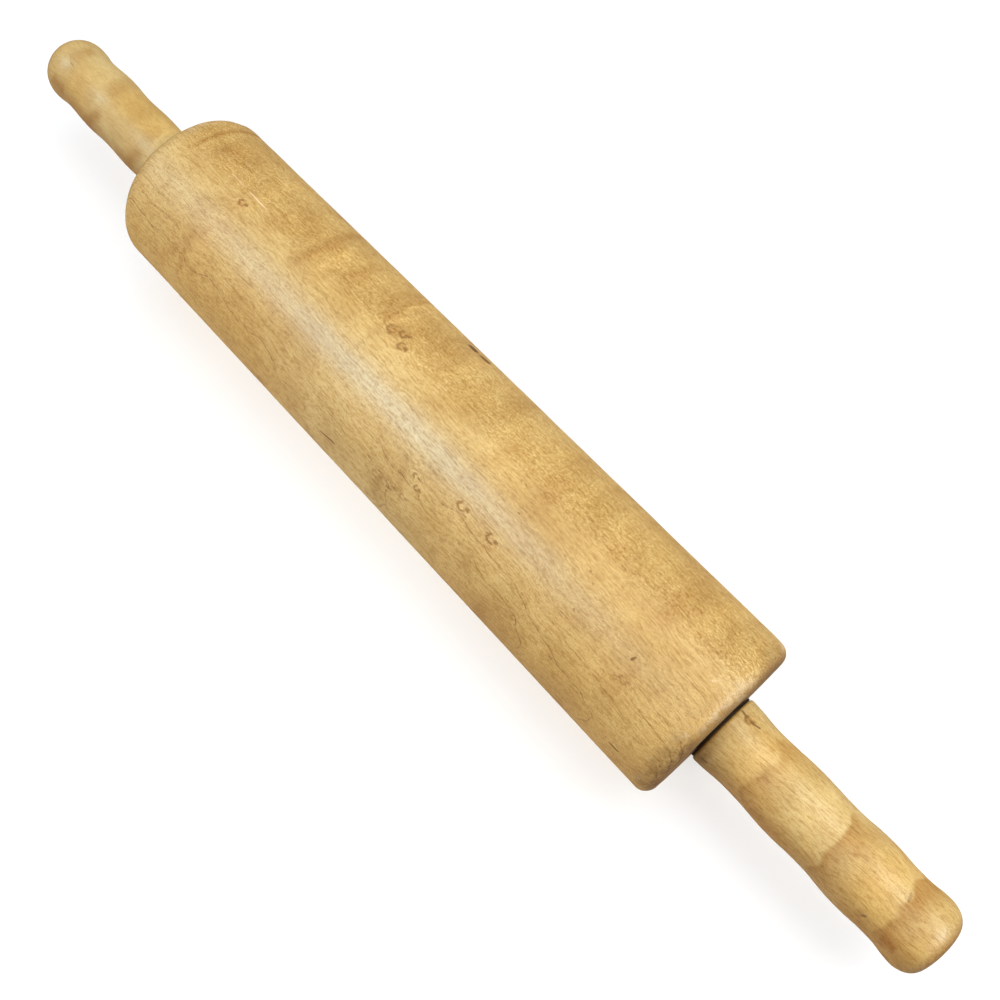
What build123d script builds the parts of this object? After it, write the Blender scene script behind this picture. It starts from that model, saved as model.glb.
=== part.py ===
from build123d import *
import os

# A rolling pin: a turned maple barrel that spins in two ball bearings on a steel rod,
# with a waved wooden handle driven on each end of the rod.
# Millimetres. The origin is the middle of the barrel, +X runs along the rod, +Z is up.

# Barrel
barrel_diameter = 70.0
barrel_length = 305.0
barrel_end_round = 5.0
barrel_bore_diameter = 13.0

# Rod, and how it sits in the handles
rod_diameter = 9.525
rod_grip_length = 62.0
rod_end_chamfer = 0.8
rod_hole_room = 1.0
drill_point_length = 2.8

# Handle: its length, the room between it and the barrel, and the diameter at each wave
handle_length = 94.0
running_gap = 1.0
handle_mouth_diameter = 28.4
handle_mouth_round = 1.4
neck_diameter = 26.4
first_swell_diameter = 27.6
first_hollow_diameter = 26.7
second_swell_diameter = 28.1
second_hollow_diameter = 26.9
end_swell_diameter = 28.4
tip_round_length = 7.5
tip_round_height = 5.2
tip_crown_height = 0.6

# Where the waves lie along the handle, from its mouth
neck_share = 0.165
first_swell_share = 0.349
first_hollow_share = 0.511
second_swell_share = 0.661
second_hollow_share = 0.815

# Ball bearing
ball_diameter = 3.969
ball_count = 7
ball_clearance = 0.05
race_wall = 1.14
groove_radius_share = 0.52
groove_depth_share = 0.22
race_chamfer = 0.3
cage_thickness = 1.1
cage_pocket_clearance = 0.1
cage_web = 0.5
cage_end_clearance = 0.44
shield_thickness = 0.4
shield_inset = 0.15
shield_seat_depth = 0.4
shield_clearance = 0.25

# Housing that holds the bearing in the barrel, and the flanged washer beside it
housing_wall = 1.2
housing_flange_rim = 1.1
bearing_setback = 0.5
washer_collar_rim = 1.55
washer_clearance = 0.05
washer_flange_diameter = 27.2
washer_running_room = 0.3

# Cutting shapes run past the surface by this much
overrun = 1.0

# Radii of the bearing, from the rod outwards
rod_radius = rod_diameter / 2
ball_radius = ball_diameter / 2
inner_groove_floor = rod_radius + race_wall
pitch_radius = inner_groove_floor + ball_clearance + ball_radius
outer_groove_floor = pitch_radius + ball_radius + ball_clearance
bearing_radius = outer_groove_floor + race_wall
groove_radius = groove_radius_share * ball_diameter
groove_depth = groove_depth_share * ball_diameter
inner_land_radius = inner_groove_floor + groove_depth
outer_land_radius = outer_groove_floor - groove_depth
shield_rim_radius = outer_land_radius + shield_seat_depth
pocket_radius = ball_radius + cage_pocket_clearance

# Widths of the bearing, from its middle outwards
cage_half_width = pocket_radius + cage_web
shield_inner_face = cage_half_width + cage_end_clearance
shield_outer_face = shield_inner_face + shield_thickness
bearing_half_width = shield_outer_face + shield_inset

# Housing, and where things lie along the rod
housing_radius = bearing_radius + housing_wall
flange_radius = housing_radius + housing_flange_rim
housing_depth = bearing_setback + 2 * bearing_half_width + housing_wall
barrel_end = barrel_length / 2
bearing_outer_face = barrel_end - bearing_setback
bearing_middle = bearing_outer_face - bearing_half_width
washer_flange_start = barrel_end + washer_running_room
handle_mouth = barrel_end + running_gap
rod_end = handle_mouth + rod_grip_length

# Radii of the washer
washer_bore_radius = rod_radius + washer_clearance
washer_collar_radius = rod_radius + washer_collar_rim
washer_flange_radius = washer_flange_diameter / 2

# Outline of a handle: its end, its blind hole for the rod, and its waves as points (x, radius)
tip_face = handle_mouth + handle_length - tip_crown_height
tip_start = tip_face - tip_round_length
tip_face_radius = end_swell_diameter / 2 - tip_round_height
tip_crown_radius = (tip_face_radius**2 + tip_crown_height**2) / (2 * tip_crown_height)
rod_hole_end = rod_end + rod_hole_room
waves = [
    (handle_mouth, handle_mouth_diameter / 2),
    (handle_mouth + neck_share * handle_length, neck_diameter / 2),
    (handle_mouth + first_swell_share * handle_length, first_swell_diameter / 2),
    (handle_mouth + first_hollow_share * handle_length, first_hollow_diameter / 2),
    (handle_mouth + second_swell_share * handle_length, second_swell_diameter / 2),
    (handle_mouth + second_hollow_share * handle_length, second_hollow_diameter / 2),
    (tip_start, end_swell_diameter / 2),
]

os.makedirs("parts", exist_ok=True)


def save(sub_part, name):
    """Label a finished piece and write its file."""
    sub_part.part.label = name
    export_step(sub_part.part, f"parts/{name}.step")


# The two ends of the pin, as planes whose X runs outwards along the rod.
# A profile drawn on either plane is revolved about the rod.
end_planes = {
    "right": Plane.XY,
    "left": Plane(origin=(0, 0, 0), x_dir=(-1, 0, 0), z_dir=(0, 0, -1)),
}


def facing_out(plane, distance):
    """The plane square to the rod at this distance from the middle, facing outwards."""
    return Plane(origin=plane.x_dir * distance, x_dir=plane.y_dir, z_dir=plane.x_dir)


# Barrel
with BuildPart() as barrel:
    with BuildSketch(Plane.YZ.offset(-barrel_end)):
        Circle(barrel_diameter / 2)
    extrude(amount=barrel_length)
    fillet(barrel.edges().filter_by(GeomType.CIRCLE), radius=barrel_end_round)
    with Locations(facing_out(end_planes["right"], barrel_end)):
        Hole(barrel_bore_diameter / 2)
    for plane in end_planes.values():
        with Locations(facing_out(plane, barrel_end)):
            Hole(housing_radius, depth=housing_depth)
            Hole(flange_radius, depth=housing_wall)
save(barrel, "barrel")

# Rod
with BuildPart() as axle_rod:
    with BuildSketch(Plane.YZ.offset(-rod_end)):
        Circle(rod_radius)
    extrude(amount=2 * rod_end)
    chamfer(axle_rod.edges().filter_by(GeomType.CIRCLE), length=rod_end_chamfer)
save(axle_rod, "axle_rod")

for side, plane in end_planes.items():

    # Handle: two arcs between each hollow and swell, and a quarter ellipse round the tip
    with BuildPart() as handle:
        with BuildSketch(plane):
            with BuildLine():
                Line((handle_mouth, 0), waves[0])
                for start, end in zip(waves, waves[1:]):
                    turning = ((start[0] + end[0]) / 2, (start[1] + end[1]) / 2)
                    TangentArc(start, turning, tangent=(1, 0))
                    TangentArc(end, turning, tangent=(-1, 0))
                EllipticalCenterArc(
                    (tip_start, tip_face_radius),
                    tip_round_length,
                    tip_round_height,
                    start_angle=90,
                    arc_size=-90,
                )
                RadiusArc(
                    (tip_face, tip_face_radius),
                    (tip_face + tip_crown_height, 0),
                    tip_crown_radius,
                )
                Line((tip_face + tip_crown_height, 0), (handle_mouth, 0))
            make_face()
        revolve(axis=Axis.X)
        mouth_face = handle.faces().filter_by(GeomType.PLANE)
        fillet(mouth_face.edges(), radius=handle_mouth_round)
        with BuildSketch(plane):
            with BuildLine():
                Polyline(
                    (handle_mouth - overrun, 0),
                    (handle_mouth - overrun, rod_radius),
                    (rod_hole_end, rod_radius),
                    (rod_hole_end + drill_point_length, 0),
                    close=True,
                )
            make_face()
        revolve(axis=Axis.X, mode=Mode.SUBTRACT)
    save(handle, f"{side}_handle")

    # Housing: a flanged cup, its flange flush with the end of the barrel
    with BuildPart() as housing:
        with BuildSketch(plane):
            with BuildLine():
                Polyline(
                    (barrel_end, bearing_radius),
                    (barrel_end, flange_radius),
                    (barrel_end - housing_wall, flange_radius),
                    (barrel_end - housing_wall, housing_radius),
                    (barrel_end - housing_depth, housing_radius),
                    (barrel_end - housing_depth, shield_rim_radius),
                    (barrel_end - housing_depth + housing_wall, shield_rim_radius),
                    (barrel_end - housing_depth + housing_wall, bearing_radius),
                    close=True,
                )
            make_face()
        revolve(axis=Axis.X)
    save(housing, f"{side}_housing")

    # Outer race: a grooved ring, stepped at both faces for the shields
    with BuildPart() as outer_race:
        with BuildSketch(plane) as ring:
            with Locations((bearing_middle, outer_land_radius)):
                Rectangle(
                    2 * bearing_half_width,
                    bearing_radius - outer_land_radius,
                    align=(Align.CENTER, Align.MIN),
                )
            with Locations((bearing_middle, outer_groove_floor - groove_radius)):
                Circle(groove_radius, mode=Mode.SUBTRACT)
            for face_side in (-1, 1):
                with Locations((bearing_middle + face_side * bearing_half_width, outer_land_radius)):
                    Rectangle(
                        2 * (shield_inset + shield_thickness),
                        2 * shield_seat_depth,
                        mode=Mode.SUBTRACT,
                    )
            chamfer(ring.vertices().group_by(Axis.Y)[-1], length=race_chamfer)
        revolve(axis=Axis.X)
    save(outer_race, f"{side}_outer_race")

    # Inner race: a grooved ring on the rod
    with BuildPart() as inner_race:
        with BuildSketch(plane) as ring:
            with Locations((bearing_middle, rod_radius)):
                Rectangle(
                    2 * bearing_half_width,
                    inner_land_radius - rod_radius,
                    align=(Align.CENTER, Align.MIN),
                )
            with Locations((bearing_middle, inner_groove_floor + groove_radius)):
                Circle(groove_radius, mode=Mode.SUBTRACT)
            chamfer(ring.vertices().group_by(Axis.Y)[0], length=race_chamfer)
        revolve(axis=Axis.X)
    save(inner_race, f"{side}_inner_race")

    # Balls, evenly spaced between the races
    with BuildPart(facing_out(plane, bearing_middle)) as balls:
        with PolarLocations(pitch_radius, ball_count):
            Sphere(ball_radius)
    save(balls, f"{side}_balls")

    # Cage: a ring with a round pocket at each ball
    with BuildPart(facing_out(plane, bearing_middle)) as cage:
        Cylinder(pitch_radius + cage_thickness / 2, 2 * cage_half_width)
        Cylinder(pitch_radius - cage_thickness / 2, 2 * cage_half_width, mode=Mode.SUBTRACT)
        with PolarLocations(pitch_radius, ball_count):
            Cylinder(
                pocket_radius,
                cage_thickness + 2 * overrun,
                rotation=(0, 90, 0),
                mode=Mode.SUBTRACT,
            )
    save(cage, f"{side}_cage")

    # Shields: a thin ring in each step of the outer race, clear of the inner race
    for name, shield_start in (
        ("outer_shield", bearing_middle + shield_inner_face),
        ("inner_shield", bearing_middle - shield_outer_face),
    ):
        with BuildPart() as shield:
            with BuildSketch(facing_out(plane, shield_start)):
                Circle(shield_rim_radius)
                Circle(inner_land_radius + shield_clearance, mode=Mode.SUBTRACT)
            extrude(amount=shield_thickness)
        save(shield, f"{side}_{name}")

    # Washer on the rod: its collar bears on the inner race, and its flange,
    # which runs clear of the barrel, lies against the mouth of the handle
    with BuildPart() as washer:
        with BuildSketch(plane):
            with BuildLine():
                Polyline(
                    (bearing_outer_face, washer_bore_radius),
                    (bearing_outer_face, washer_collar_radius),
                    (washer_flange_start, washer_collar_radius),
                    (washer_flange_start, washer_flange_radius),
                    (handle_mouth, washer_flange_radius),
                    (handle_mouth, washer_bore_radius),
                    close=True,
                )
            make_face()
        revolve(axis=Axis.X)
    save(washer, f"{side}_washer")
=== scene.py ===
import math

import bmesh
import bpy
import numpy as np
from mathutils import Matrix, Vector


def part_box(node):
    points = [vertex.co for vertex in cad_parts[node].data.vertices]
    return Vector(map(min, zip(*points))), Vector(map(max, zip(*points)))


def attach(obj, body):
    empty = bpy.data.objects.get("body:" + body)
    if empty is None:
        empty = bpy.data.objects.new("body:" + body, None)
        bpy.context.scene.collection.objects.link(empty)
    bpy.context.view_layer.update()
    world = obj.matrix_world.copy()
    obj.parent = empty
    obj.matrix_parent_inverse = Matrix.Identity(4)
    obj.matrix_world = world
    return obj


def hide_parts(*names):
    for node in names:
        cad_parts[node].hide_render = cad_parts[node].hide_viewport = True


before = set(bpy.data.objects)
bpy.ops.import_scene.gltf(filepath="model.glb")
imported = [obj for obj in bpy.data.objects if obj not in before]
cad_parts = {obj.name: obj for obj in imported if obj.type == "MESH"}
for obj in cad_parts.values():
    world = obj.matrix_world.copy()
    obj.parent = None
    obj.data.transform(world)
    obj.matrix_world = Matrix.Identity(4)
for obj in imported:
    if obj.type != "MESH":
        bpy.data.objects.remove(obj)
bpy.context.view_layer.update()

# An old maple rolling pin. The wooden pieces are turned here as fine meshes that stand for the CAD
# nodes. Each vertex carries where it lies in its block of wood, what time has left on it and some painted
# shade and highlights, and the nodes of the maple turn that into rings, dashes, bird's-eyes, cracks and
# gloss.
# Lengths are metres, and those with mm in their name millimetres. The frame is that of the CAD.

mm = 0.001

# Camera, fitted to the outline in the photograph. Pixels are those of the 1000 x 1000 photograph.
picture_middle = 500
focal_pixels = 1080.4
focal_per_sensor = focal_pixels / (2 * picture_middle)
sensor_width_mm = 36.0
view_azimuth = math.radians(-48.055)
view_slope = math.radians(66.593)
origin_pixel = (427.91, 427.93)
origin_depth = 0.41219

# Sizes that the outlines of the wooden pieces need beside the boxes of their nodes
barrel_end_round = 5.0 * mm
barrel_bore_radius = 6.5 * mm
housing_radius = 12.31 * mm
housing_depth = 8.849 * mm
flange_radius = 13.41 * mm
flange_depth = 1.2 * mm
rod_hole_radius = 4.79 * mm
rod_hole_depth = 63.0 * mm
handle_mouth_round = 1.4 * mm
tip_round_height = 5.2 * mm
tip_crown_height = 0.6 * mm

# The waves of a handle: the share of its length from the mouth, and the radius there
handle_waves = [
    (0.0, 14.2 * mm),
    (0.165, 13.2 * mm),
    (0.349, 13.8 * mm),
    (0.511, 13.35 * mm),
    (0.661, 14.05 * mm),
    (0.815, 13.45 * mm),
    (0.914, 14.2 * mm),
]

ring_spacing_mm = 2.2

# The share of the bake's map that the outside of a turned piece takes, and the clear margin of each band
map_split = 0.7
map_margin = 0.004

# Camera directions
view_forward = np.array([
    math.sin(view_azimuth) * math.cos(view_slope),
    math.cos(view_azimuth) * math.cos(view_slope),
    -math.sin(view_slope),
])
view_right = np.array([math.cos(view_azimuth), -math.sin(view_azimuth), 0.0])
view_down = np.cross(view_forward, view_right)


def pixel_direction(pixel):
    """The direction in which the camera sees this pixel of the photograph."""
    across = (pixel[0] - picture_middle) / focal_pixels
    down = (pixel[1] - picture_middle) / focal_pixels
    return view_forward + across * view_right + down * view_down


camera_place = -origin_depth * pixel_direction(origin_pixel)
camera_side = math.atan2(camera_place[2], camera_place[1])


def smooth(value):
    """0 up to 0, 1 from 1 on, and a smooth step between."""
    value = np.clip(value, 0.0, 1.0)
    return value * value * (3 - 2 * value)


def ramp(value, start, end):
    """0 before start, 1 beyond end, and a smooth step between. The end may be the lower one."""
    return smooth((value - start) / (end - start))


def drift(points, size, seed):
    """Smooth noise of about -2 to 2 that changes over this many mm."""
    random = np.random.default_rng(seed)
    waves = 24
    total = np.zeros(len(points))
    for _ in range(waves):
        direction = random.normal(size=3)
        direction *= 2 * math.pi / size * random.uniform(0.5, 1.3) / np.linalg.norm(direction)
        total += np.cos(points @ direction + random.uniform(0, 2 * math.pi))
    return total / math.sqrt(waves / 2)


class Turned:
    """A turned piece of wood: its mesh, and where each vertex lies on the unrolled skin, in mm."""

    def __init__(self, name, outline, around, skin_radius):
        self.name = name
        self.outline = np.array(outline)
        self.skin_radius = skin_radius
        turns = np.linspace(0, 2 * math.pi, around, endpoint=False)
        x, r = self.outline.T
        rings = np.stack([
            np.repeat(x, around),
            np.outer(r, np.cos(turns)).ravel(),
            np.outer(r, np.sin(turns)).ravel(),
        ], axis=1)
        self.points = rings
        self.rows = len(outline)
        self.around = around
        angle = np.arctan2(rings[:, 2], rings[:, 1]) - camera_side
        angle = (angle + math.pi) % (2 * math.pi) - math.pi
        self.degrees = np.degrees(angle)
        self.radius = np.repeat(r, around)
        self.skin = np.stack([rings[:, 0], angle * skin_radius], axis=1) / mm
        self.on_skin = ramp(self.radius / skin_radius, 0.72, 0.84)

    def spot(self, pixel):
        """Where on the unrolled skin this pixel of the photograph falls, in mm.

        The ray meets a cylinder about the axis, again and again with the radius that the outside has there.
        """
        ray = pixel_direction(pixel)
        outer = self.outline[np.argsort(self.outline[:, 0])]
        outer = outer[outer[:, 1] > 0.6 * self.skin_radius]
        radius = self.skin_radius
        for _ in range(6):
            a = ray[1] ** 2 + ray[2] ** 2
            b = camera_place[1] * ray[1] + camera_place[2] * ray[2]
            c = camera_place[1] ** 2 + camera_place[2] ** 2 - radius ** 2
            reach = (-b - math.sqrt(max(b * b - a * c, 0.0))) / a
            place = camera_place + reach * ray
            radius = np.interp(place[0], outer[:, 0], outer[:, 1])
        angle = (math.atan2(place[2], place[1]) - camera_side + math.pi) % (2 * math.pi) - math.pi
        return np.array([place[0], angle * self.skin_radius]) / mm

    def offset(self, centre):
        """From a place on the skin to each vertex, the short way round, in mm."""
        way = self.skin - centre
        whole = 2 * math.pi * self.skin_radius / mm
        way[:, 1] = (way[:, 1] + whole / 2) % whole - whole / 2
        return way

    def between(self, pairs):
        """Marks given by their end pixels, as marks given by their ends on the skin."""
        return [(self.spot(start), self.spot(end), *rest) for start, end, *rest in pairs]

    def by_line(self, start, end):
        """Each vertex's way along and across the line between two places on the skin, from its middle.

        In half lengths and mm. With the skin's length to the right and its turn downwards, across is above
        nothing on the right of a line drawn upwards.
        """
        half = (end - start) / 2
        half_length = np.linalg.norm(half)
        run = half / half_length
        way = self.offset((start + end) / 2)
        return way @ run / half_length, way @ np.array([-run[1], run[0]])

    def stroke(self, start, end, half_width):
        """1 along the line between two places on the skin, fading to 0 at half_width and at its ends."""
        along, across = self.by_line(start, end)
        return np.exp(-1.6 * (across / half_width) ** 2) * ramp(np.abs(along), 1.15, 0.65) * self.on_skin

    def bands(self, marks):
        """The bands of colour along these lines, each vertex taking the strongest of them."""
        total = np.zeros(len(self.skin))
        for start, end, half_width, amount in marks:
            band = amount * self.stroke(start, end, half_width)
            total = np.where(np.abs(band) > np.abs(total), band, total)
        return total

    def ledge(self, start, end, reach, strength, paler=0.8, edge_mm=0.8):
        """Dark left of a line drawn upwards on the skin, and pale right of it, fading over reach.

        edge_mm is how wide the line is blurred. The wider the blur, the further the line wavers.
        """
        along, across = self.by_line(start, end)
        across += 0.4 * edge_mm * drift(self.points / mm, 7, 9)
        dark = np.exp(-np.abs(across) / reach) * smooth(0.5 - across / edge_mm)
        pale = np.exp(-np.abs(across) / (0.5 * reach)) * smooth(0.5 + across / edge_mm)
        return strength * (dark - paler * pale) * ramp(np.abs(along), 1.15, 0.75) * self.on_skin

    def local_marks(self, marks):
        """Each vertex's place in its small mark, in half lengths and half widths, and the mark's strength.

        The nodes draw the mark from this, finer than the mesh. Each is (start, end, half width, strength).
        """
        reach, far_off = 1.3, 9.0
        local = np.full((len(self.skin), 3), far_off)
        local[:, 2] = 0.0
        margin = 1.6 * 2 * math.pi * self.skin_radius / mm / self.around
        for start, end, half_width, strength in marks:
            half_length = np.linalg.norm(end - start) / 2
            along, across = self.by_line(start, end)
            near = (np.abs(along) < reach + margin / half_length) & (self.on_skin > 0.5)
            near &= np.abs(across) < reach * half_width + margin
            place = np.stack([along, across / half_width, np.full(len(along), strength)], axis=1)
            local[near] = place[near]
        return local

    def crossing(self, ring):
        """How steeply the rings cross the surface: 1 where it cuts them square, low where it follows."""
        grid = ring.reshape(self.rows, self.around)
        steps = np.linalg.norm(np.diff(self.outline, axis=0), axis=1) / mm
        length = np.concatenate([[0], np.cumsum(np.maximum(steps, 1e-3))])
        over_rows = np.gradient(grid, length, axis=0)
        turn_mm = 2 * math.pi / self.around * np.maximum(self.outline[:, 1:], 0.3 * mm) / mm
        over_turns = (np.roll(grid, -1, axis=1) - np.roll(grid, 1, axis=1)) / (2 * turn_mm)
        return np.clip(np.hypot(over_rows, over_turns), 0.07, 1.2).ravel()

    def facing_along(self):
        """1 where the surface faces along the axis, and shows end grain."""
        run, rise = np.gradient(self.outline, axis=0).T
        share = np.abs(rise) / np.maximum(np.hypot(run, rise), 1e-9)
        return np.repeat(ramp(share, 0.35, 0.95), self.around)

    def press(self, depth_mm):
        """Wears the outside down by this depth, never up."""
        depth = np.maximum(depth_mm, 0.0) * self.on_skin * mm
        self.points[:, 1:] *= (1 - depth / np.maximum(self.radius, 1 * mm))[:, None]

    def flat_map(self):
        """Each corner's place on the bake's map: the outside in one band, the rest in a narrower one."""
        share = np.linalg.norm(np.diff(self.outline, axis=0), axis=1)
        outside = self.outline[:, 1] > 0.8 * self.skin_radius
        strip = outside[:-1] & outside[1:]
        u = np.zeros((self.rows - 1, 2))
        for rows in (strip, ~strip):
            ends = np.cumsum(np.where(rows, share, 0.0))
            whole = ends[-1]
            u[rows, 1] = (ends / whole)[rows]
            u[rows, 0] = ((ends - share) / whole)[rows]
        u = map_margin + (1 - 2 * map_margin) * u
        low = np.where(strip, map_margin, map_split + map_margin)
        high = np.where(strip, map_split - map_margin, 1 - map_margin)
        turns = np.arange(self.around + 1) / self.around
        v = low[:, None] + (high - low)[:, None] * turns
        corners = [
            (u[:, :1] + 0 * v[:, :-1], v[:, :-1]),
            (u[:, :1] + 0 * v[:, :-1], v[:, 1:]),
            (u[:, 1:] + 0 * v[:, :-1], v[:, 1:]),
            (u[:, 1:] + 0 * v[:, :-1], v[:, :-1]),
        ]
        return np.stack([np.stack(corner, axis=-1) for corner in corners], axis=2)

    def build(self, fields, material):
        """The mesh, with a vector per vertex for each named field."""
        rows, around = self.rows, self.around
        row, turn = np.meshgrid(np.arange(rows - 1), np.arange(around), indexing="ij")
        after = (turn + 1) % around
        quads = np.stack([
            row * around + turn,
            row * around + after,
            (row + 1) * around + after,
            (row + 1) * around + turn,
        ], axis=-1).reshape(-1, 4)
        mesh = bpy.data.meshes.new(self.name)
        mesh.from_pydata(self.points.tolist(), [], quads.tolist())
        bake_map = mesh.uv_layers.new(name="OFBake")
        bake_map.data.foreach_set("uv", self.flat_map().astype(np.float32).ravel())
        for name, values in fields.items():
            layer = mesh.attributes.new(name, "FLOAT_VECTOR", "POINT")
            layer.data.foreach_set("vector", values.astype(np.float32).ravel())
        mesh.materials.append(material)
        joined = bmesh.new()
        joined.from_mesh(mesh)
        bmesh.ops.remove_doubles(joined, verts=joined.verts, dist=0.001 * mm)
        joined.to_mesh(mesh)
        joined.free()
        mesh.polygons.foreach_set("use_smooth", np.ones(len(mesh.polygons), dtype=bool))
        mesh.set_sharp_from_angle(angle=math.radians(50))
        piece = bpy.data.objects.new(self.name, mesh)
        bpy.context.scene.collection.objects.link(piece)
        return piece


class Nodes:
    """Adds nodes to a material or world. Each method returns the output that carries its result."""

    def __init__(self, owner):
        owner.use_nodes = True
        self.tree = owner.node_tree
        self.shader = self.tree.nodes.get("Principled BSDF")

    def add(self, kind, inputs, output=0, **settings):
        node = self.tree.nodes.new(kind)
        for name, value in settings.items():
            setattr(node, name, value)
        for name, value in inputs.items():
            if isinstance(value, bpy.types.NodeSocket):
                self.tree.links.new(value, node.inputs[name])
            else:
                node.inputs[name].default_value = value
        return node.outputs[output]

    def math(self, operation, a, b=0.0, clamp=False):
        return self.add("ShaderNodeMath", {0: a, 1: b}, operation=operation, use_clamp=clamp)

    def times(self, a, b, clamp=False):
        return self.math("MULTIPLY", a, b, clamp)

    def field(self, name):
        """A vertex field, as its three parts."""
        vector = self.add("ShaderNodeAttribute", {}, "Vector", attribute_name=name)
        split = self.add("ShaderNodeSeparateXYZ", {0: vector}).node
        return split.outputs[0], split.outputs[1], split.outputs[2]

    def join(self, x, y, z=0.0):
        return self.add("ShaderNodeCombineXYZ", {0: x, 1: y, 2: z})

    def stretch(self, vector, scale):
        return self.add("ShaderNodeVectorMath", {0: vector, 1: scale}, operation="MULTIPLY")

    def noise(self, vector, scale=1.0, detail=2.0, roughness=0.5):
        """Noise of about 0.25 to 0.75."""
        inputs = {"Vector": vector, "Scale": scale, "Detail": detail, "Roughness": roughness}
        return self.add("ShaderNodeTexNoise", inputs)

    def step(self, value, low, high, out_low=0.0, out_high=1.0):
        """A smooth step from out_low at low to out_high at high."""
        inputs = {"Value": value, "From Min": low, "From Max": high, "To Min": out_low, "To Max": out_high}
        return self.add("ShaderNodeMapRange", inputs, interpolation_type="SMOOTHSTEP")

    def tint(self, colour, by, amount):
        """Colour multiplied by another colour, as far as amount says."""
        inputs = {0: amount, 6: colour, 7: (*by, 1.0)}
        return self.add("ShaderNodeMix", inputs, 2, data_type="RGBA", blend_type="MULTIPLY")

    def cover(self, colour, over, amount):
        """Colour, covered by another as far as amount says."""
        return self.add("ShaderNodeMix", {0: amount, 6: colour, 7: over}, 2, data_type="RGBA")

    def sum(self, *terms):
        """Terms are outputs, or (output, factor)."""
        total = 0.0
        for term in terms:
            value, factor = term if isinstance(term, tuple) else (term, 1.0)
            total = self.add("ShaderNodeMath", {0: value, 1: factor, 2: total}, operation="MULTIPLY_ADD")
        return total

    def bump(self, height, distance):
        return self.add("ShaderNodeBump", {"Height": height, "Distance": distance, "Strength": 1.0})

    def connect(self, output, socket):
        self.tree.links.new(output, self.shader.inputs[socket])


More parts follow.
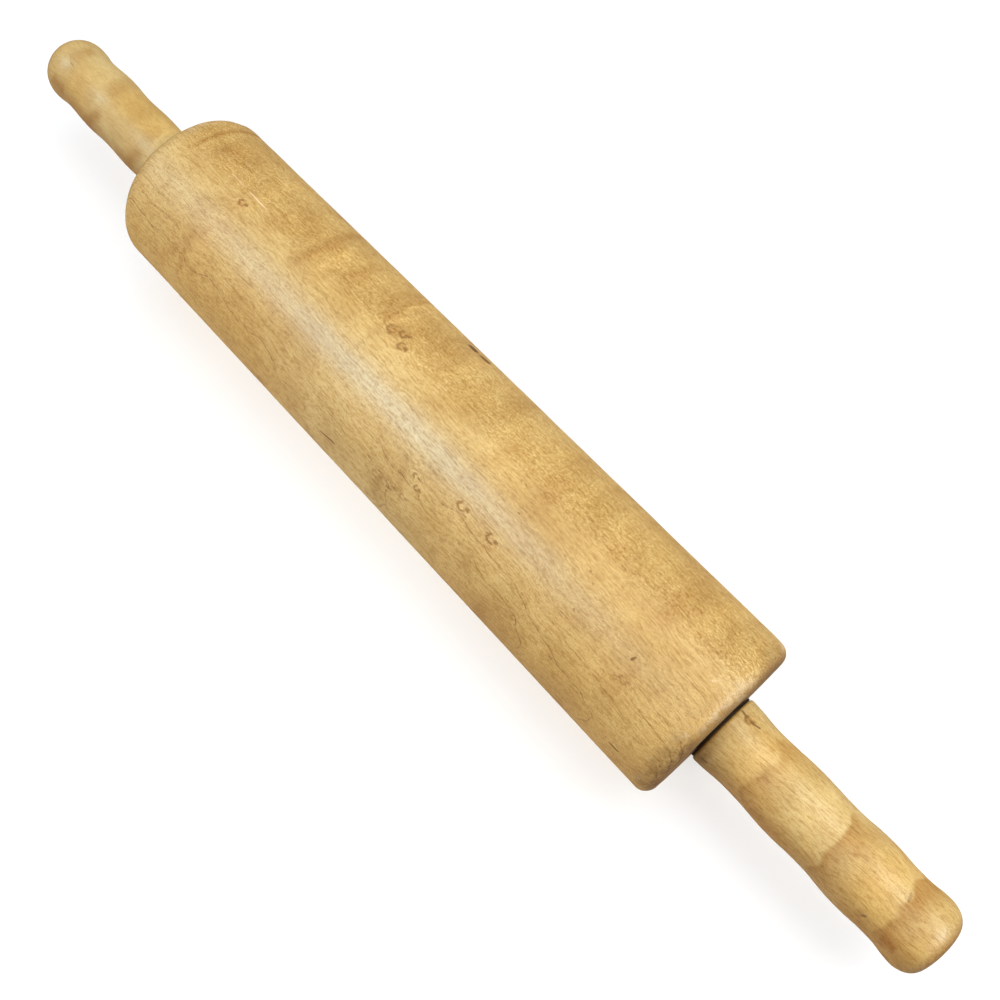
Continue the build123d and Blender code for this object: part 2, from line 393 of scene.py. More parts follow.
def maple(name, base, bird_eye, depth=1.0):
    """Old oiled maple.

    base is its usual colour, bird_eye that of its bird's-eyes, and depth how strong its fibres show.
    """
    material = bpy.data.materials.new(name)
    n = Nodes(material)
    along, ring, ray = n.field("grain")
    # look: curl with painted highlights and shade, dirt with painted shade at the handles' mouths, and wear
    # with a painted sheen on the barrel
    curl_and_painted_light, dirt, worn = n.field("look")
    fleck, warm, lines = n.field("figure")
    crossing, end_grain, brown_and_shade = n.field("cross")
    grain = n.join(along, ring, ray)

    # Growth rings: a shade that deepens up to a thin line, which is as wide on the skin however it is cut
    ring_place = n.math("DIVIDE", ring, ring_spacing_mm)
    number = n.math("ROUND", ring_place)
    from_line = n.times(n.math("SUBTRACT", ring_place, number), ring_spacing_mm)
    from_line = n.math("DIVIDE", from_line, crossing)
    own = n.noise(n.join(n.times(along, 0.02), n.times(number, 7.31)))
    broken = n.noise(n.stretch(grain, (0.5, 1.2, 1.2)))
    bold = n.times(n.step(own, 0.35, 0.62, 0.2, 1.0), n.step(broken, 0.34, 0.58, 0.25, 1.0))
    bold = n.times(bold, lines)
    ring_line = n.times(n.step(n.math("ABSOLUTE", from_line), 0.36, 0.05), bold)
    late_wood = n.times(n.step(from_line, -1.6, 0.0), n.step(from_line, 0.25, 0.0))
    late_wood = n.times(late_wood, bold)

    # Fibres, the short wavering dashes of the rays with paler wood between, pores and clouds of tone
    fibre = n.noise(n.stretch(grain, (0.2, 2.7, 2.7)), detail=4.0, roughness=0.62)
    waver = n.noise(n.stretch(grain, (0.4, 0.3, 0.3)))
    leaning = n.join(along, n.sum(ring, (along, 0.12), (waver, 1.6)), ray)
    dash_noise = n.noise(n.stretch(leaning, (1.25, 2.9, 2.9)), detail=2.5, roughness=0.6)
    dash = n.times(n.step(dash_noise, 0.49, 0.61), fleck)
    pale_dash = n.times(n.step(dash_noise, 0.5, 0.34), fleck)
    pore_noise = n.noise(n.stretch(grain, (1.4, 4.0, 4.0)), roughness=0.7)
    pore = n.step(pore_noise, 0.5, 0.66, 0.0, depth)
    cloud = n.noise(n.stretch(grain, (0.035, 0.06, 0.06)), detail=3.0, roughness=0.6)
    mottle = n.noise(n.stretch(grain, (0.1, 0.16, 0.16)), roughness=0.55)

    # Hairlines, where a noise passes its middle: long ones with the fibres, short ones among the dashes
    long_noise = n.noise(n.stretch(grain, (0.1, 1.1, 1.1)))
    long_hair = n.step(n.math("ABSOLUTE", n.sum(long_noise, (0.5, -1.0))), 0.075, 0.015, 0.0, depth)
    long_hair = n.times(long_hair, n.step(broken, 0.38, 0.58, 0.15, 1.0))
    short_noise = n.noise(n.stretch(leaning, (0.5, 1.2, 1.2)))
    short_hair = n.step(n.math("ABSOLUTE", n.sum(short_noise, (0.5, -1.0))), 0.08, 0.01)
    short_hair = n.times(short_hair, fleck)

    # Faint waves of shade across the grain, which show where the rays do
    wave = n.noise(n.stretch(grain, (0.12, 0.025, 0.03)), detail=1.0)
    wave_dark = n.times(n.step(wave, 0.5, 0.7), fleck)
    wave_pale = n.times(n.step(wave, 0.5, 0.3), fleck)

    # Bird's-eyes: a dark hook at one end, a blot at the other, and pale wood between and around them
    eye_x, eye_y, eye_strength = n.field("eye")
    wobble = n.noise(n.join(eye_x, eye_y, ring), scale=1.9, detail=3.0, roughness=0.6)

    def away_from(x, y, flat=1.0):
        """How far the bird's-eye's surface is from a point of it, wavering a little."""
        to_x = n.sum(eye_x, (x, -1.0))
        to_y = n.times(n.sum(eye_y, (y, -1.0)), flat)
        far = n.math("SQRT", n.sum(n.times(to_x, to_x), n.times(to_y, to_y)))
        return n.sum(far, (wobble, 0.9), (0.45, -1.0))

    hook_radius = 0.62
    from_hook = n.math("ABSOLUTE", n.math("SUBTRACT", away_from(-0.2, 0.0, 0.8), hook_radius))
    hook_side = n.step(n.sum((eye_x, -1.0), (eye_y, 0.5)), -0.6, 0.35)
    hook = n.times(n.step(from_hook, 0.36, 0.05), hook_side)
    blot = n.step(away_from(0.5, -0.1), 0.65, 0.2)
    eye = n.times(n.math("MAXIMUM", hook, blot), eye_strength)
    halo = n.times(n.step(away_from(0.0, 0.0), 1.4, 0.8, 0.0, 0.6), eye_strength)

    # Cracks and dark flecks, and pale scratches where the strength is below nothing
    cut_x, cut_y, cut_strength = n.field("cut")
    cut_far = n.sum(n.math("POWER", n.math("ABSOLUTE", cut_x), 4.0), n.times(cut_y, cut_y))
    cut_far = n.sum(cut_far, (wobble, 0.8), (0.4, -1.0))
    cut_body = n.step(cut_far, 1.1, 0.25)
    cut = n.times(cut_body, n.math("MAXIMUM", cut_strength, 0.0))
    scratch = n.times(cut_body, n.math("MAXIMUM", n.times(cut_strength, -1.0), 0.0))

    # Dirt, and rubbed places that also carry a painted sheen, both broken up by the same noise, and curl as
    # a dark part and a pale one, the pale one also painting highlights and sheen
    grime = n.noise(n.stretch(grain, (0.5, 0.5, 0.5)), detail=4.0, roughness=0.65)
    dirty = n.times(dirt, n.step(grime, 0.3, 0.62, 0.45, 1.0), clamp=True)
    rubbed_and_sheen = n.times(worn, n.step(grime, 0.42, 0.6), clamp=True)
    dark_curl = n.math("MAXIMUM", curl_and_painted_light, 0.0)
    pale_curl_and_highlight = n.math("MAXIMUM", n.times(curl_and_painted_light, -1.0), 0.0)

    # Colour, from the ground up: what each mark multiplies it by, and then what covers it
    warm_base = [c * k for c, k in zip(base, (1.0, 0.9, 0.68))]
    colour = n.cover((*base, 1.0), (*warm_base, 1.0), warm)
    for by, amount in (
        ((0.9, 0.87, 0.81), n.step(cloud, 0.38, 0.64)),
        ((0.95, 0.92, 0.86), n.step(mottle, 0.45, 0.62)),
        ((0.68, 0.53, 0.33), brown_and_shade),
        ((0.93, 0.89, 0.82), wave_dark),
        ((1.07, 1.07, 1.06), wave_pale),
        ((0.89, 0.84, 0.74), n.step(fibre, 0.45, 0.65, 0.0, depth)),
        ((0.93, 0.89, 0.82), late_wood),
        ((0.6, 0.51, 0.35), ring_line),
        ((0.8, 0.72, 0.54), long_hair),
        ((0.78, 0.68, 0.48), short_hair),
        ((0.8, 0.72, 0.54), dash),
        ((1.12, 1.12, 1.1), pale_dash),
        ((0.88, 0.82, 0.72), pore),
        ((0.71, 0.54, 0.3), dark_curl),
        # The pale part of curl tints towards bluish white: pale figure, and painted highlights and sheen
        ((1.28, 1.31, 1.48), pale_curl_and_highlight),
        ((1.14, 1.14, 1.14), halo),
    ):
        colour = n.tint(colour, by, amount)
    colour = n.cover(colour, (*bird_eye, 1.0), n.times(eye, 0.78))
    colour = n.tint(colour, (0.68, 0.57, 0.42), end_grain)
    colour = n.tint(colour, (0.53, 0.47, 0.35), dirty)
    for over, amount in (
        # The rubbed colour also paints the barrel's beige sheen at its near rounded end
        ((0.62, 0.47, 0.28, 1.0), n.times(rubbed_and_sheen, 0.5)),
        ((0.78, 0.56, 0.38, 1.0), n.times(scratch, 0.85)),
        ((0.1, 0.042, 0.012, 1.0), n.times(cut, 0.9)),
    ):
        colour = n.cover(colour, over, amount)
    n.connect(colour, "Base Color")

    # Oil polished by hands: rougher in marks and dirt, where it is rubbed through, and seen along the skin
    edge_on = n.add("ShaderNodeLayerWeight", {"Blend": 0.5}, "Facing")
    rough = n.sum(
        (fibre, 0.16), (dash, 0.08), (dirty, 0.3), (rubbed_and_sheen, 0.12), (cut, 0.6), (pore, 0.06),
        (long_hair, 0.06), (eye, 0.5), (dark_curl, 0.3), (n.times(edge_on, edge_on), 0.35), (0.3, 1.0),
    )
    n.connect(rough, "Roughness")
    height = n.sum(
        (fibre, 0.5), (ring_line, -0.35), (dash, -0.5), (pore_noise, -0.5), (long_hair, -0.25),
        (short_hair, -0.25), (eye, -0.8), (cut, -6.0), (scratch, -1.0),
    )
    n.connect(n.bump(height, 0.03 * mm), "Normal")
    n.shader.inputs["Specular IOR Level"].default_value = 0.45
    return material


def steel(name, colour, rough, turning_mm, wear):
    """Turned or rolled metal: fine rings of the tool round the axis, blotches of handling, dull spots."""
    material = bpy.data.materials.new(name)
    n = Nodes(material)
    place = n.add("ShaderNodeTexCoord", {}, "Object")
    split = n.add("ShaderNodeSeparateXYZ", {0: place}).node
    x, y, z = split.outputs[0], split.outputs[1], split.outputs[2]
    radius = n.math("SQRT", n.sum(n.times(y, y), n.times(z, z)))
    tooled = n.noise(n.join(x, radius), scale=1 / (turning_mm * mm), detail=3.0, roughness=0.6)
    blotch = n.noise(place, scale=160.0, detail=4.0, roughness=0.6)
    pits = n.noise(place, scale=900.0, detail=2.0, roughness=0.6)
    spot = n.times(n.step(pits, 0.6, 0.72), n.step(blotch, 0.45, 0.62, 0.0, wear))
    tone = n.tint((*colour, 1.0), (0.78, 0.77, 0.75), n.step(blotch, 0.35, 0.65))
    tone = n.tint(tone, (0.86, 0.86, 0.87), n.step(tooled, 0.4, 0.65))
    tone = n.cover(tone, (0.2, 0.12, 0.07, 1.0), spot)
    n.connect(tone, "Base Color")
    n.connect(n.sum((blotch, 0.25), (tooled, 0.12), (spot, 0.4), (rough - 0.18, 1.0)), "Roughness")
    n.connect(n.bump(n.sum(tooled, (spot, -1.0)), 0.004 * mm), "Normal")
    n.shader.inputs["Metallic"].default_value = 1.0
    return material


def wave_radius(share):
    """Radius of a handle at this share of its length: two arcs between each hollow and swell."""
    radius = handle_waves[-1][1]
    for (start, low), (end, high) in zip(handle_waves, handle_waves[1:]):
        if start <= share < end:
            part = (share - start) / (end - start)
            rise = 2 * part * part if part < 0.5 else 1 - 2 * (1 - part) ** 2
            radius = low + (high - low) * rise
    return radius


def arc(centre, length, height, start, end, steps):
    """Points on an ellipse's arc about a centre (x, r), angles in degrees from x, without the first."""
    turns = np.radians(np.linspace(start, end, steps + 1)[1:])
    return [(centre[0] + length * math.cos(t), centre[1] + height * math.sin(t)) for t in turns]


def line(start, end, steps):
    """Points on a straight line between two (x, r), without the first."""
    shares = np.linspace(0, 1, steps + 1)[1:]
    return [(start[0] + (end[0] - start[0]) * s, start[1] + (end[1] - start[1]) * s) for s in shares]


def barrel_outline():
    """Once round the section of the barrel, from the middle of its bore and back to it."""
    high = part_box("barrel")[1]
    end, radius = high[0], min(high[1], high[2])
    shoulder = radius - barrel_end_round
    start = (0.0, barrel_bore_radius)
    half = [
        (end - housing_depth, barrel_bore_radius),
        (end - housing_depth, housing_radius),
        (end - flange_depth, housing_radius),
        (end - flange_depth, flange_radius),
        (end, flange_radius),
    ]
    half += line(half[-1], (end, shoulder), steps=16)
    half += arc((end - barrel_end_round, shoulder), barrel_end_round, barrel_end_round, 0, 90, steps=14)
    top = line(half[-1], (-end + barrel_end_round, radius), steps=380)
    other_half = [(-x, r) for x, r in reversed(half[:-1])]
    return [start] + half + top + other_half + [start]


def handle_outline(side):
    """From the bottom of the hole for the rod, out of the mouth, and round the outside to the tip."""
    low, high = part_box(f"{side}_handle")
    mouth = min(abs(low[0]), abs(high[0]))
    length = high[0] - low[0]
    outer = handle_waves[0][1]
    hole_end = mouth + rod_hole_depth
    points = [(hole_end, 0.0), (hole_end, rod_hole_radius), (mouth, rod_hole_radius)]
    points += line(points[-1], (mouth, outer - handle_mouth_round), steps=10)
    mouth_centre = (mouth + handle_mouth_round, outer - handle_mouth_round)
    points += arc(mouth_centre, handle_mouth_round, handle_mouth_round, 180, 90, steps=8)
    first = handle_mouth_round / length
    last = handle_waves[-1][0]
    points += [(mouth + length * s, wave_radius(s)) for s in np.linspace(first, last, 220)[1:]]
    tip_start = mouth + last * length
    tip_face = mouth + length - tip_crown_height
    tip_radius = handle_waves[-1][1] - tip_round_height
    points += arc((tip_start, tip_radius), tip_face - tip_start, tip_round_height, 90, 0, steps=22)
    points += [
        (tip_face + tip_crown_height * (1 - (r / tip_radius) ** 2), r)
        for r in np.linspace(tip_radius, 0, 15)[1:]
    ]
    sign = -1 if side == "left" else 1
    return [(sign * x, r) for x, r in points]


def block(points_mm, bark_degrees, pith_distance_mm, slope):
    """Where each point lies in its block of wood, in mm: along the grain, out from the pith, round it."""
    turn = camera_side + math.radians(bark_degrees)
    out = points_mm @ np.array([slope, math.cos(turn), math.sin(turn)]) + pith_distance_mm
    side = points_mm @ np.array([0.0, -math.sin(turn), math.cos(turn)])
    return points_mm[:, 0].copy(), np.hypot(out, side), np.arctan2(side, out) * pith_distance_mm


def wood_fields(grain, look, figure, cross, eye, cut):
    """The fields that the maple's nodes read, a vector per vertex. Four of them come as three parts."""
    parts = {"grain": grain, "look": look, "figure": figure, "cross": cross}
    joined = {name: np.stack(values, axis=1) for name, values in parts.items()}
    return {**joined, "eye": eye, "cut": cut}


# Barrel. Brown bands across the grain, where it curls, and paler ones where the strength is below nothing,
# some of them painted shade and sheen at the rounded ends: end pixels, half width in mm, strength
barrel_curls_and_painted_light = [
    # Painted shade: a dark arc where the far rounded end begins, a paler band beyond it, a soft darker one
    # before it
    ((190, 149), (264, 141), 1.5, 0.8),
    ((196, 140), (252, 131), 1.0, -0.35),
    ((196, 157), (240, 150), 3.5, 0.25),
    ((468, 344), (491, 365), 1.8, 0.6),
    ((205, 230), (160, 262), 2.6, 0.3),
    ((190, 236), (180, 272), 2.0, 0.45),
    ((238, 200), (248, 207), 1.8, 0.45),
    ((228, 220), (250, 198), 3.0, 0.2),
    # Painted sheen: pale bands along the near rounded end
    ((692, 731), (760, 676), 2.4, -0.6),
    ((652, 775), (690, 738), 1.2, -0.25),
    ((366, 240), (328, 247), 3.0, 0.5),
    ((342, 243), (292, 264), 3.2, 0.55),
    ((374, 268), (338, 282), 3.0, 0.45),
    ((352, 256), (312, 272), 1.8, -0.4),
    ((336, 233), (304, 246), 1.8, -0.4),
    ((384, 326), (352, 350), 2.0, 0.3),
    ((400, 352), (372, 372), 1.6, 0.25),
    ((390, 328), (412, 337), 3.2, 0.75),
    ((400, 343), (406, 352), 2.2, 0.65),
    ((385, 326), (412, 318), 1.0, -0.5),
    ((470, 300), (420, 345), 4.0, 0.15),
    ((540, 385), (470, 440), 6.0, 0.25),
    ((470, 440), (420, 480), 4.0, 0.22),
    ((408, 452), (400, 500), 3.2, 0.42),
    ((385, 470), (372, 500), 2.5, 0.4),
    ((600, 450), (520, 520), 5.0, 0.35),
    ((450, 530), (430, 560), 3.0, 0.35),
    ((478, 545), (462, 568), 3.0, 0.28),
    ((660, 520), (590, 580), 5.0, 0.2),
    ((720, 570), (650, 632), 5.0, 0.35),
    ((640, 660), (600, 710), 4.0, 0.32),
    ((490, 600), (470, 622), 3.0, 0.25),
    ((300, 200), (262, 236), 4.0, 0.16),
    ((345, 400), (325, 420), 3.5, 0.25),
]

# Where the grain leaps to a new level, dark on one side of the line and pale on the other:
# end pixels, reach in mm, strength
barrel_ledges = [((385, 322), (437, 308), 6.0, 0.65), ((385, 322), (412, 315), 2.0, 0.45)]

# Bird's-eyes: the hook's end and the blot's end as pixels, half width in mm, strength
barrel_eyes = [
    ((239, 200), (248, 207), 1.6, 1.0),
    ((457, 502), (470, 513), 1.7, 0.95),
    ((486, 534), (498, 546), 1.7, 1.0),
    ((413, 473), (421, 482), 1.1, 0.9),
    ((414, 485), (421, 493), 1.2, 0.9),
    ((399, 342), (407, 352), 2.0, 0.95),
    ((387, 325), (400, 334), 2.2, 0.9),
    ((399, 332), (412, 339), 1.8, 0.9),
    ((384, 480), (397, 492), 2.0, 0.8),
    ((372, 470), (382, 480), 1.8, 0.6),
    ((399, 494), (407, 502), 1.4, 0.6),
    ((521, 480), (527, 486), 0.8, 0.5),
    ((561, 697), (567, 703), 0.8, 0.4),
    ((286, 286), (290, 290), 0.5, 0.5),
    ((619, 676), (631, 686), 1.3, 0.6),
    ((510, 615), (517, 622), 1.0, 0.5),
]

# Cracks, dark flecks and, with a strength below nothing, pale scratches, given as the bands are
barrel_cuts = [
    ((469, 344), (480, 355), 2.2, 1.0),
    ((480, 355), (491, 365), 2.0, 0.9),
    ((630, 660), (637, 657), 0.5, 0.75),
    ((319, 430), (336, 445), 0.45, 0.85),
    ((608, 741), (619, 753), 0.5, 0.9),
    ((518, 512), (520, 514), 0.3, 0.6),
    ((231, 172), (247, 189), 0.35, -0.4),
    ((249, 191), (267, 210), 0.4, -0.75),
    ((711, 680), (717, 682), 0.5, -0.5),
    ((590, 570), (592, 572), 0.4, 0.5),
    ((592, 583), (594, 585), 0.3, 0.5),
    ((573, 608), (575, 610), 0.4, 0.5),
    ((548, 655), (552, 660), 0.4, 0.6),
    ((460, 512), (467, 518), 0.35, 0.4),
    ((401, 338), (408, 335), 0.6, 0.4),
]

# Dirt at the near rounded end, given as the bands are
barrel_dirt = [
    ((639, 786), (698, 736), 4.6, 1.1),
    ((692, 739), (738, 700), 1.8, 0.5),
    ((646, 772), (684, 736), 3.2, 0.8),
]

# Painted beige sheen along the near rounded end, and pale rubbed specks in its dirt, given as the bands are
barrel_sheen_and_specks = [((696, 733), (760, 677), 2.4, 0.9), ((636, 778), (652, 776), 1.6, 0.8)]

far_side_seed = 11


def far_side_marks():
    """Bands, bird's-eyes and cracks for the side that the photograph doesn't show."""
    draw = np.random.default_rng(far_side_seed).uniform
    curls, eyes, cuts = [], [], []
    for _ in range(26):
        place = np.array([draw(-145, 145), draw(78, 142)])
        reach = np.array([draw(-3, 3), draw(8, 22)])
        curls.append((place - reach, place + reach, draw(2, 5), draw(0.15, 0.45)))
    for _ in range(14):
        place = np.array([draw(-140, 140), draw(70, 150)])
        half = draw(0.8, 1.6)
        eyes.append((place - (half, 0), place + (half, 0), half, draw(0.5, 0.9)))
    for _ in range(9):
        place = np.array([draw(-140, 140), draw(72, 148)])
        reach = np.array([draw(1.0, 4.0), draw(-0.5, 0.5)])
        cuts.append((place - reach, place + reach, draw(0.25, 0.5), draw(0.4, 0.8)))
    return curls, eyes, cuts


def barrel_block(points_mm):
    """Where the barrel lies in its block of wood. Its rings waver, and lean out from lean_start_mm on."""
    lean, lean_start_mm, lean_ease_mm = 0.045, -60, 20
    along, ring, ray = block(points_mm, bark_degrees=57, pith_distance_mm=90.0, slope=0.0)
    past_start = (points_mm[:, 0] - lean_start_mm) / lean_ease_mm
    ring -= lean * lean_ease_mm * np.log1p(np.exp(past_start))
    long_waves = points_mm * np.array([1.0, 0.45, 0.45])
    ring += 0.6 * drift(long_waves, 60, seed=3) + 0.22 * drift(long_waves, 17, seed=4)
    ring += 0.06 * drift(points_mm, 6, seed=5)
    along += 1.5 * drift(points_mm, 40, seed=6)
    return along, ring, ray


def barrel_tones(barrel, points_mm):
    """How much ray fleck, warm colour and ring line shows on the barrel, and where it is browner,
    partly with painted shade along its lower and upper edges.

    x is mm from the middle towards the near end, turn degrees down from the side that faces the camera.
    """
    x, turn = points_mm[:, 0], barrel.degrees
    quarter_sawn = ramp(turn, -8, -32) * ramp(turn, -150, -100)
    ring_lines = (0.4 + 0.6 * ramp(turn, 12, 32)) * (1 - 0.5 * quarter_sawn)
    ends_low = ramp(np.abs(x), 20, 60) * ramp(turn, 30, 60)
    near_half = ramp(x, 30, 90) * ramp(turn, -38, -8)
    far_low = ramp(x, -40, -80) * ramp(turn, -5, 15)
    warm = 0.08 + 0.1 * drift(points_mm, 40, seed=24)
    warm += 0.65 * ends_low + 0.42 * near_half + 0.37 * far_low
    calm_near = 1 - 0.6 * ramp(x, 20, 70)
    patches = smooth(0.4 * drift(points_mm * np.array([1.0, 0.6, 0.6]), 26, seed=25) - 0.1)
    speckles = smooth(0.8 * drift(points_mm, 7, seed=28) - 0.2)
    brown_and_shade = np.max([
        0.35 * calm_near * patches,
        0.5 * speckles * ramp(np.abs(x + 25), 70, 40) * ramp(turn, 50, 68),
        # painted shade: browner towards the upper edge, turned 52 to 82 degrees up from the side facing the
        # camera
        0.15 * ramp(turn, -52, -82),
        # painted shade: browner along the lower edge of the near part
        0.3 * ramp(x, 20, 60) * ramp(turn, 42, 67),
        0.16 * ramp(x, 35, 75) * ramp(np.abs(turn + 4), 33.8, 7.8),
    ], axis=0)
    return np.maximum(0.35, 1.1 * quarter_sawn), np.clip(warm, 0, 1), ring_lines, brown_and_shade


def dressed_barrel():
    """The barrel as it is seen, with all its marks."""
    barrel = Turned("maple_barrel", barrel_outline(), around=384, skin_radius=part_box("barrel")[1][2])
    points_mm = barrel.points / mm
    from_middle = np.abs(points_mm[:, 0])
    far_curls, far_eyes, far_cuts = far_side_marks()
    along, ring, ray = barrel_block(points_mm)
    curl_and_painted_light = barrel.bands(barrel.between(barrel_curls_and_painted_light) + far_curls)
    for start, end, reach, amount in barrel.between(barrel_ledges):
        curl_and_painted_light += barrel.ledge(start, end, reach, amount)
    ring += curl_and_painted_light
    curl_and_painted_light -= 0.14 * ramp(from_middle, 75, 35)

    # The rings bulge round each bird's-eye, which lies in a shallow pit
    eyes = barrel.between(barrel_eyes) + far_eyes
    pits = np.zeros(len(points_mm))
    for start, end, half_width, amount in eyes:
        way = barrel.offset((start + end) / 2)
        near = amount * np.exp(-(way ** 2).sum(axis=1) / (2 * (1.4 * half_width) ** 2))
        ring += 0.9 * near
        pits = np.maximum(pits, near)
    crossing = barrel.crossing(ring)

    # Dirt worked into the rounded ends, rubbed through again at places, and a painted sheen along the near
    # one
    end_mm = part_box("barrel")[1][0] / mm
    at_end = ramp(from_middle, end_mm - 9, end_mm - 3)
    dirt = at_end * (0.12 + 0.25 * smooth(0.5 + 0.5 * drift(points_mm, 18, seed=21)))
    dirt = np.maximum(dirt, barrel.bands(barrel.between(barrel_dirt)))
    worn = at_end * smooth(drift(points_mm, 12, seed=22) - 0.1) * (1 - 0.8 * barrel.facing_along())
    # The listed bands add a painted beige sheen along the near rounded end, and pale rubbed specks in its
    # dirt
    worn = np.maximum(worn, barrel.bands(barrel.between(barrel_sheen_and_specks)))

    # Handling has worn the ends and dented the skin a little
    dents = 0.05 * smooth(drift(points_mm, 30, seed=26))
    worn_ends = 0.18 * at_end * smooth(drift(points_mm, 13, seed=27))
    barrel.press(0.05 * pits + dents + worn_ends)

    fleck, warm, ring_lines, brown_and_shade = barrel_tones(barrel, points_mm)
    return barrel.build(
        wood_fields(
            grain=(along, ring, ray),
            look=(curl_and_painted_light, dirt, worn),
            figure=(fleck, warm, ring_lines),
            cross=(crossing, barrel.facing_along(), brown_and_shade),
            eye=barrel.local_marks(eyes),
            cut=barrel.local_marks(barrel.between(barrel_cuts) + far_cuts),
        ),
        maple("barrel_maple", base=(0.6, 0.446, 0.19), bird_eye=(0.2, 0.09, 0.02)),
    )


barrel_piece = dressed_barrel()
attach(barrel_piece, "barrel")
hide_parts("barrel")

# Handles: their marks are given as the barrel's are, and some of their bands are painted highlights and
# shade
handle_curls_and_painted_light = {
    "right": [
        ((745, 716), (756, 726), 1.3, 0.9),
        ((878, 830), (850, 852), 5.0, 0.35),
        ((940, 882), (912, 912), 5.0, 0.4),
        ((880, 936), (896, 952), 3.2, 0.7),
        # Painted highlights: pale bands along the swells of the near handle
        ((776, 742), (738, 778), 5.0, -0.3),
        ((838, 790), (793, 830), 9.0, -0.25),
        ((906, 858), (862, 905), 7.0, -0.35),
    ],
    "left": [
        # Brown curl in the waists, deepened with painted shade where they turn away from the light
        ((96, 52), (70, 60), 4.0, 0.5),
        ((52, 76), (64, 92), 4.0, 0.7),
        ((138, 83), (110, 97), 5.0, 0.38),
        ((101, 112), (88, 128), 4.2, 0.8),
        ((143, 150), (128, 168), 4.0, 0.7),
        ((162, 130), (144, 142), 4.0, 0.28),
        # Painted highlight: a pale ring on the handle next to the barrel
        ((183, 132), (146, 164), 1.2, -0.3),
    ],
}

# As the barrel's ledges, with how strong the pale side is and how wide the line is blurred
handle_ledges = {
    "right": [
        ((790, 738), (736, 796), 6.0, 0.75, 0.15, 3.5),
        ((855, 812), (808, 870), 6.5, 1.0, 0.15, 1.5),
        ((922, 873), (875, 936), 6.0, 0.9, 0.15, 2.0),
    ],
    "left": [],
}

# Dirt in a dent near a handle's mouth
handle_dirt = {"right": [((745, 716), (755, 725), 1.0, 0.7)], "left": []}
handle_eyes = {
    "right": [((745, 716), (755, 726), 1.6, 1.0)],
    "left": [((110, 93), (113, 97), 0.8, 0.3)],
}
handle_cuts = {
    "right": [
        ((741, 710), (746, 716), 0.6, 0.75),
        ((755, 725), (761, 729), 0.5, 0.8),
        ((912, 892), (908, 903), 0.6, 0.4),
        ((860, 915), (867, 917), 0.6, 0.7),
        ((700, 757), (708, 764), 0.6, 0.7),
    ],
    "left": [((70, 62), (74, 66), 0.4, 0.4)],
}

# Painted shade browns the underside from this turn on, in degrees down from the side that faces the
# camera, and the top, less so, from this turn on the other way
underside_turn = {"right": 24, "left": 32}
topside_turn = {"right": -50, "left": -40}

# The turn towards the bark, the slope of the rings along the handle, and how much ray fleck shows
bark_turn = {"right": 70, "left": -40}
handle_slope = {"right": 0.06, "left": -0.06}
handle_fleck = {"right": 0.2, "left": 0.12}
handle_seed = {"right": 60, "left": 40}
handle_maple = {
    "right": maple("handle_maple", base=(0.61, 0.465, 0.205), bird_eye=(0.19, 0.09, 0.03)),
    "left": maple("pale_handle_maple", (0.56, 0.43, 0.195), (0.19, 0.1, 0.035), depth=0.5),
}


def dressed_handle(side):
    """A handle as it is seen, with all its marks. Each of its noises has a seed of its own."""
    mouth_radius = handle_waves[0][1]
    handle = Turned(f"{side}_maple_handle", handle_outline(side), around=256, skin_radius=mouth_radius)
    points_mm = handle.points / mm
    turn = handle.degrees
    seed = handle_seed[side]
    along, ring, ray = block(points_mm, bark_turn[side], pith_distance_mm=60.0, slope=handle_slope[side])
    ring += 0.35 * drift(points_mm, 40, seed) + 0.15 * drift(points_mm, 12, seed + 1)
    curl_and_painted_light = handle.bands(handle.between(handle_curls_and_painted_light[side]))
    for start, end, *rest in handle.between(handle_ledges[side]):
        curl_and_painted_light += handle.ledge(start, end, *rest)
    from_mouth = np.abs(points_mm[:, 0]) - np.abs(handle.outline[:, 0]).min() / mm
    at_tip = ramp(from_mouth, 88, 94)
    lower_half = ramp(turn, -10, 50)
    # Dirt at the mouth; the extra on its lower half is painted shade from the gap
    dirt = ramp(from_mouth, 6, 1) * (0.25 + 0.5 * lower_half)
    dirt += 0.1 * smooth(drift(points_mm, 14, seed + 2))
    dirt = np.maximum(dirt, handle.bands(handle.between(handle_dirt[side])))
    worn = 0.3 * at_tip * smooth(drift(points_mm, 9, seed + 3))
    warm = smooth(0.5 + 0.3 * drift(points_mm, 30, seed + 4))
    underside = ramp(turn, underside_turn[side], underside_turn[side] + 40)
    brown_and_shade = np.max([
        # painted shade along the underside
        0.8 * underside + 0.15 * smooth(0.4 * drift(points_mm, 16, seed + 5) - 0.1),
        # painted shade along the top edge, weaker
        0.3 * ramp(turn, topside_turn[side], topside_turn[side] - 35),
        0.8 * at_tip,
        # painted shade from the gap, on the mouth's lower half
        0.8 * lower_half * ramp(from_mouth, 8, 2),
    ], axis=0)
    fleck = np.full(len(points_mm), handle_fleck[side])
    handle.press(0.08 * smooth(drift(points_mm, 20, seed + 6)))
    return handle.build(
        wood_fields(
            grain=(along, ring, ray),
            look=(curl_and_painted_light, dirt, worn),
            figure=(fleck, warm, fleck + 0.1),
            cross=(handle.crossing(ring), handle.facing_along(), brown_and_shade),
            eye=handle.local_marks(handle.between(handle_eyes[side])),
            cut=handle.local_marks(handle.between(handle_cuts[side])),
        ),
        handle_maple[side],
    )


for side in ("left", "right"):
    piece = dressed_handle(side)
    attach(piece, "grips")
    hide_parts(f"{side}_handle")

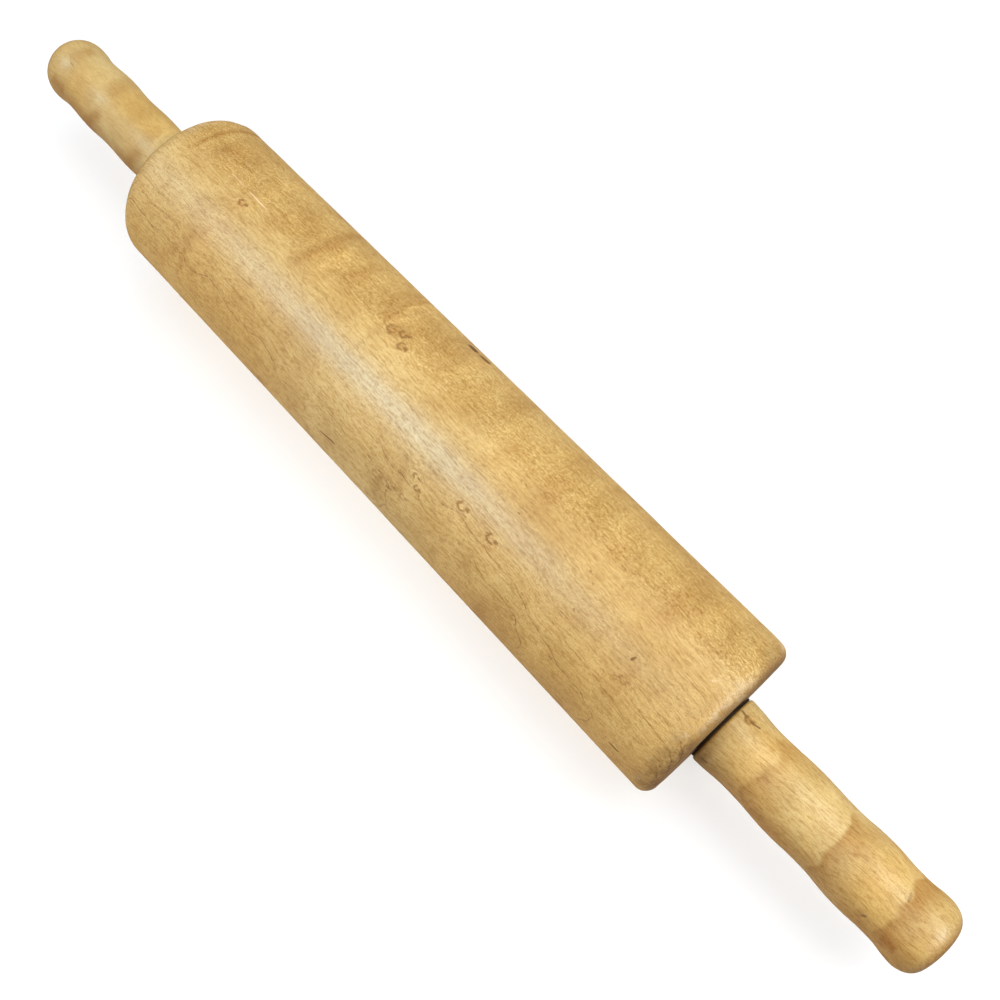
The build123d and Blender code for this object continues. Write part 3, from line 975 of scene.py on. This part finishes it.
# Metal inside the barrel: colour, roughness, spacing of the tool's rings in mm, and share of dull spots
metals = {
    "axle_rod": steel("drawn_steel", (0.56, 0.56, 0.56), 0.34, 0.5, 0.25),
    "housing": steel("dull_zinc", (0.5, 0.5, 0.5), 0.45, 0.3, 0.6),
    "outer_race": steel("ground_steel", (0.6, 0.6, 0.62), 0.25, 0.12, 0.1),
    "inner_race": steel("ground_steel_inner", (0.6, 0.6, 0.62), 0.25, 0.12, 0.1),
    "balls": steel("polished_steel", (0.72, 0.72, 0.74), 0.16, 0.2, 0.0),
    "cage": steel("worn_brass", (0.72, 0.5, 0.2), 0.36, 0.25, 0.35),
    "outer_shield": steel("pressed_steel", (0.52, 0.52, 0.53), 0.38, 0.4, 0.4),
    "inner_shield": steel("pressed_steel_inner", (0.52, 0.52, 0.53), 0.38, 0.4, 0.4),
    # The washer's near-black brown is painted shade: it darkens the gap between barrel and handle
    "washer": steel("shade_dark_steel_washer", (0.05, 0.032, 0.02), 0.7, 0.35, 0.3),
}
for name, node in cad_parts.items():
    kind = name.removeprefix("left_").removeprefix("right_")
    if kind in metals:
        for material_slot in node.material_slots:
            material_slot.material = metals[kind]

# Stage: a pale floor under the barrel, a broad soft light overhead and a soft sky
floor_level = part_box("barrel")[0][2]
floor_half = 4.0
floor_mesh = bpy.data.meshes.new("floor")
floor_signs = ((-1, -1), (1, -1), (1, 1), (-1, 1))
floor_corners = [(x * floor_half, y * floor_half, floor_level) for x, y in floor_signs]
floor_mesh.from_pydata(floor_corners, [], [(0, 1, 2, 3)])
floor = bpy.data.objects.new("floor", floor_mesh)
bpy.context.scene.collection.objects.link(floor)
floor_paper = bpy.data.materials.new("floor_paper")
paper = Nodes(floor_paper)
paper.shader.inputs["Base Color"].default_value = (0.76, 0.79, 0.83, 1.0)
paper.shader.inputs["Roughness"].default_value = 0.9
paper.shader.inputs["Specular IOR Level"].default_value = 0.1
floor_mesh.materials.append(floor_paper)
floor.visible_glossy = False


def soft_light(name, place, aim, size, power, colour, gloss, shadow=True):
    """A rectangular lamp, the first of its sizes along X. It lights either the gloss or all the rest."""
    lamp = bpy.data.lights.new(name, "AREA")
    lamp.shape = "RECTANGLE"
    lamp.size, lamp.size_y = size
    lamp.energy = power
    lamp.color = colour
    lamp.use_shadow = shadow
    holder = bpy.data.objects.new(name, lamp)
    away = np.array(place) - np.array(aim)
    away /= np.linalg.norm(away)
    across = np.cross((0, 1, 0), away)
    across /= np.linalg.norm(across)
    turn = Matrix(np.stack([across, np.cross(away, across), away], axis=1).tolist()).to_4x4()
    holder.matrix_world = Matrix.Translation(place) @ turn
    holder.visible_glossy = gloss
    holder.visible_diffuse = not gloss
    bpy.context.scene.collection.objects.link(holder)


# Windows that show in the gloss: name, place, aim, size, power, colour
for window in (
    ("streak_light", (-0.48, -0.54, 1.0), (0, 0, 0), (0.5, 0.46), 13.5, (0.2, 0.66, 1.0)),
    ("tip_light", (0.92, 0.32, 0.72), (0.24, 0, 0), (0.2, 0.25), 9.0, (0.75, 0.92, 1.0)),
    ("handle_light", (0.42, 0.36, 1.05), (0.2, 0, 0), (0.36, 0.5), 2.2, (0.6, 0.85, 1.0)),
    ("end_light", (0.95, -0.25, 0.75), (0.15, 0, 0), (0.5, 0.5), 4.0, (1.0, 0.95, 0.85)),
):
    soft_light(*window, gloss=True)

# General light from overhead, which throws no shadow in the photograph, and from the side
overhead_colour = (1.0, 0.985, 0.955)
side_colour = (1.0, 0.9, 0.79)
soft_light("overhead_light", (0.3, 0.5, 1.2), (0, 0, 0), (1.3, 0.9), 21.5, overhead_colour,
           gloss=False, shadow=False)
soft_light("side_light", (-0.4, -1.2, 0.5), (0, 0, 0), (1.2, 0.7), 8.5, side_colour, gloss=False)

# The sky is brightest overhead and dims towards the horizon
sky = bpy.data.worlds.new("sky")
bpy.context.scene.world = sky
air = Nodes(sky)
up = air.add("ShaderNodeSeparateXYZ", {0: air.add("ShaderNodeTexCoord", {}, "Generated")}).node.outputs[2]
brightness = air.step(up, -0.1, 0.9, 0.24, 0.58)
background = sky.node_tree.nodes["Background"]
background.inputs["Color"].default_value = (1.0, 0.99, 0.98, 1.0)
sky.node_tree.links.new(brightness, background.inputs["Strength"])

camera = bpy.data.cameras.new("camera")
camera.sensor_width = sensor_width_mm
camera.lens = focal_per_sensor * sensor_width_mm
camera.clip_start = 0.01
holder = bpy.data.objects.new("camera", camera)
turn = Matrix(np.stack([view_right, -view_down, -view_forward], axis=1).tolist()).to_4x4()
holder.matrix_world = Matrix.Translation(camera_place.tolist()) @ turn
bpy.context.scene.collection.objects.link(holder)
bpy.context.scene.camera = holder
bpy.context.scene.view_settings.view_transform = "Standard"
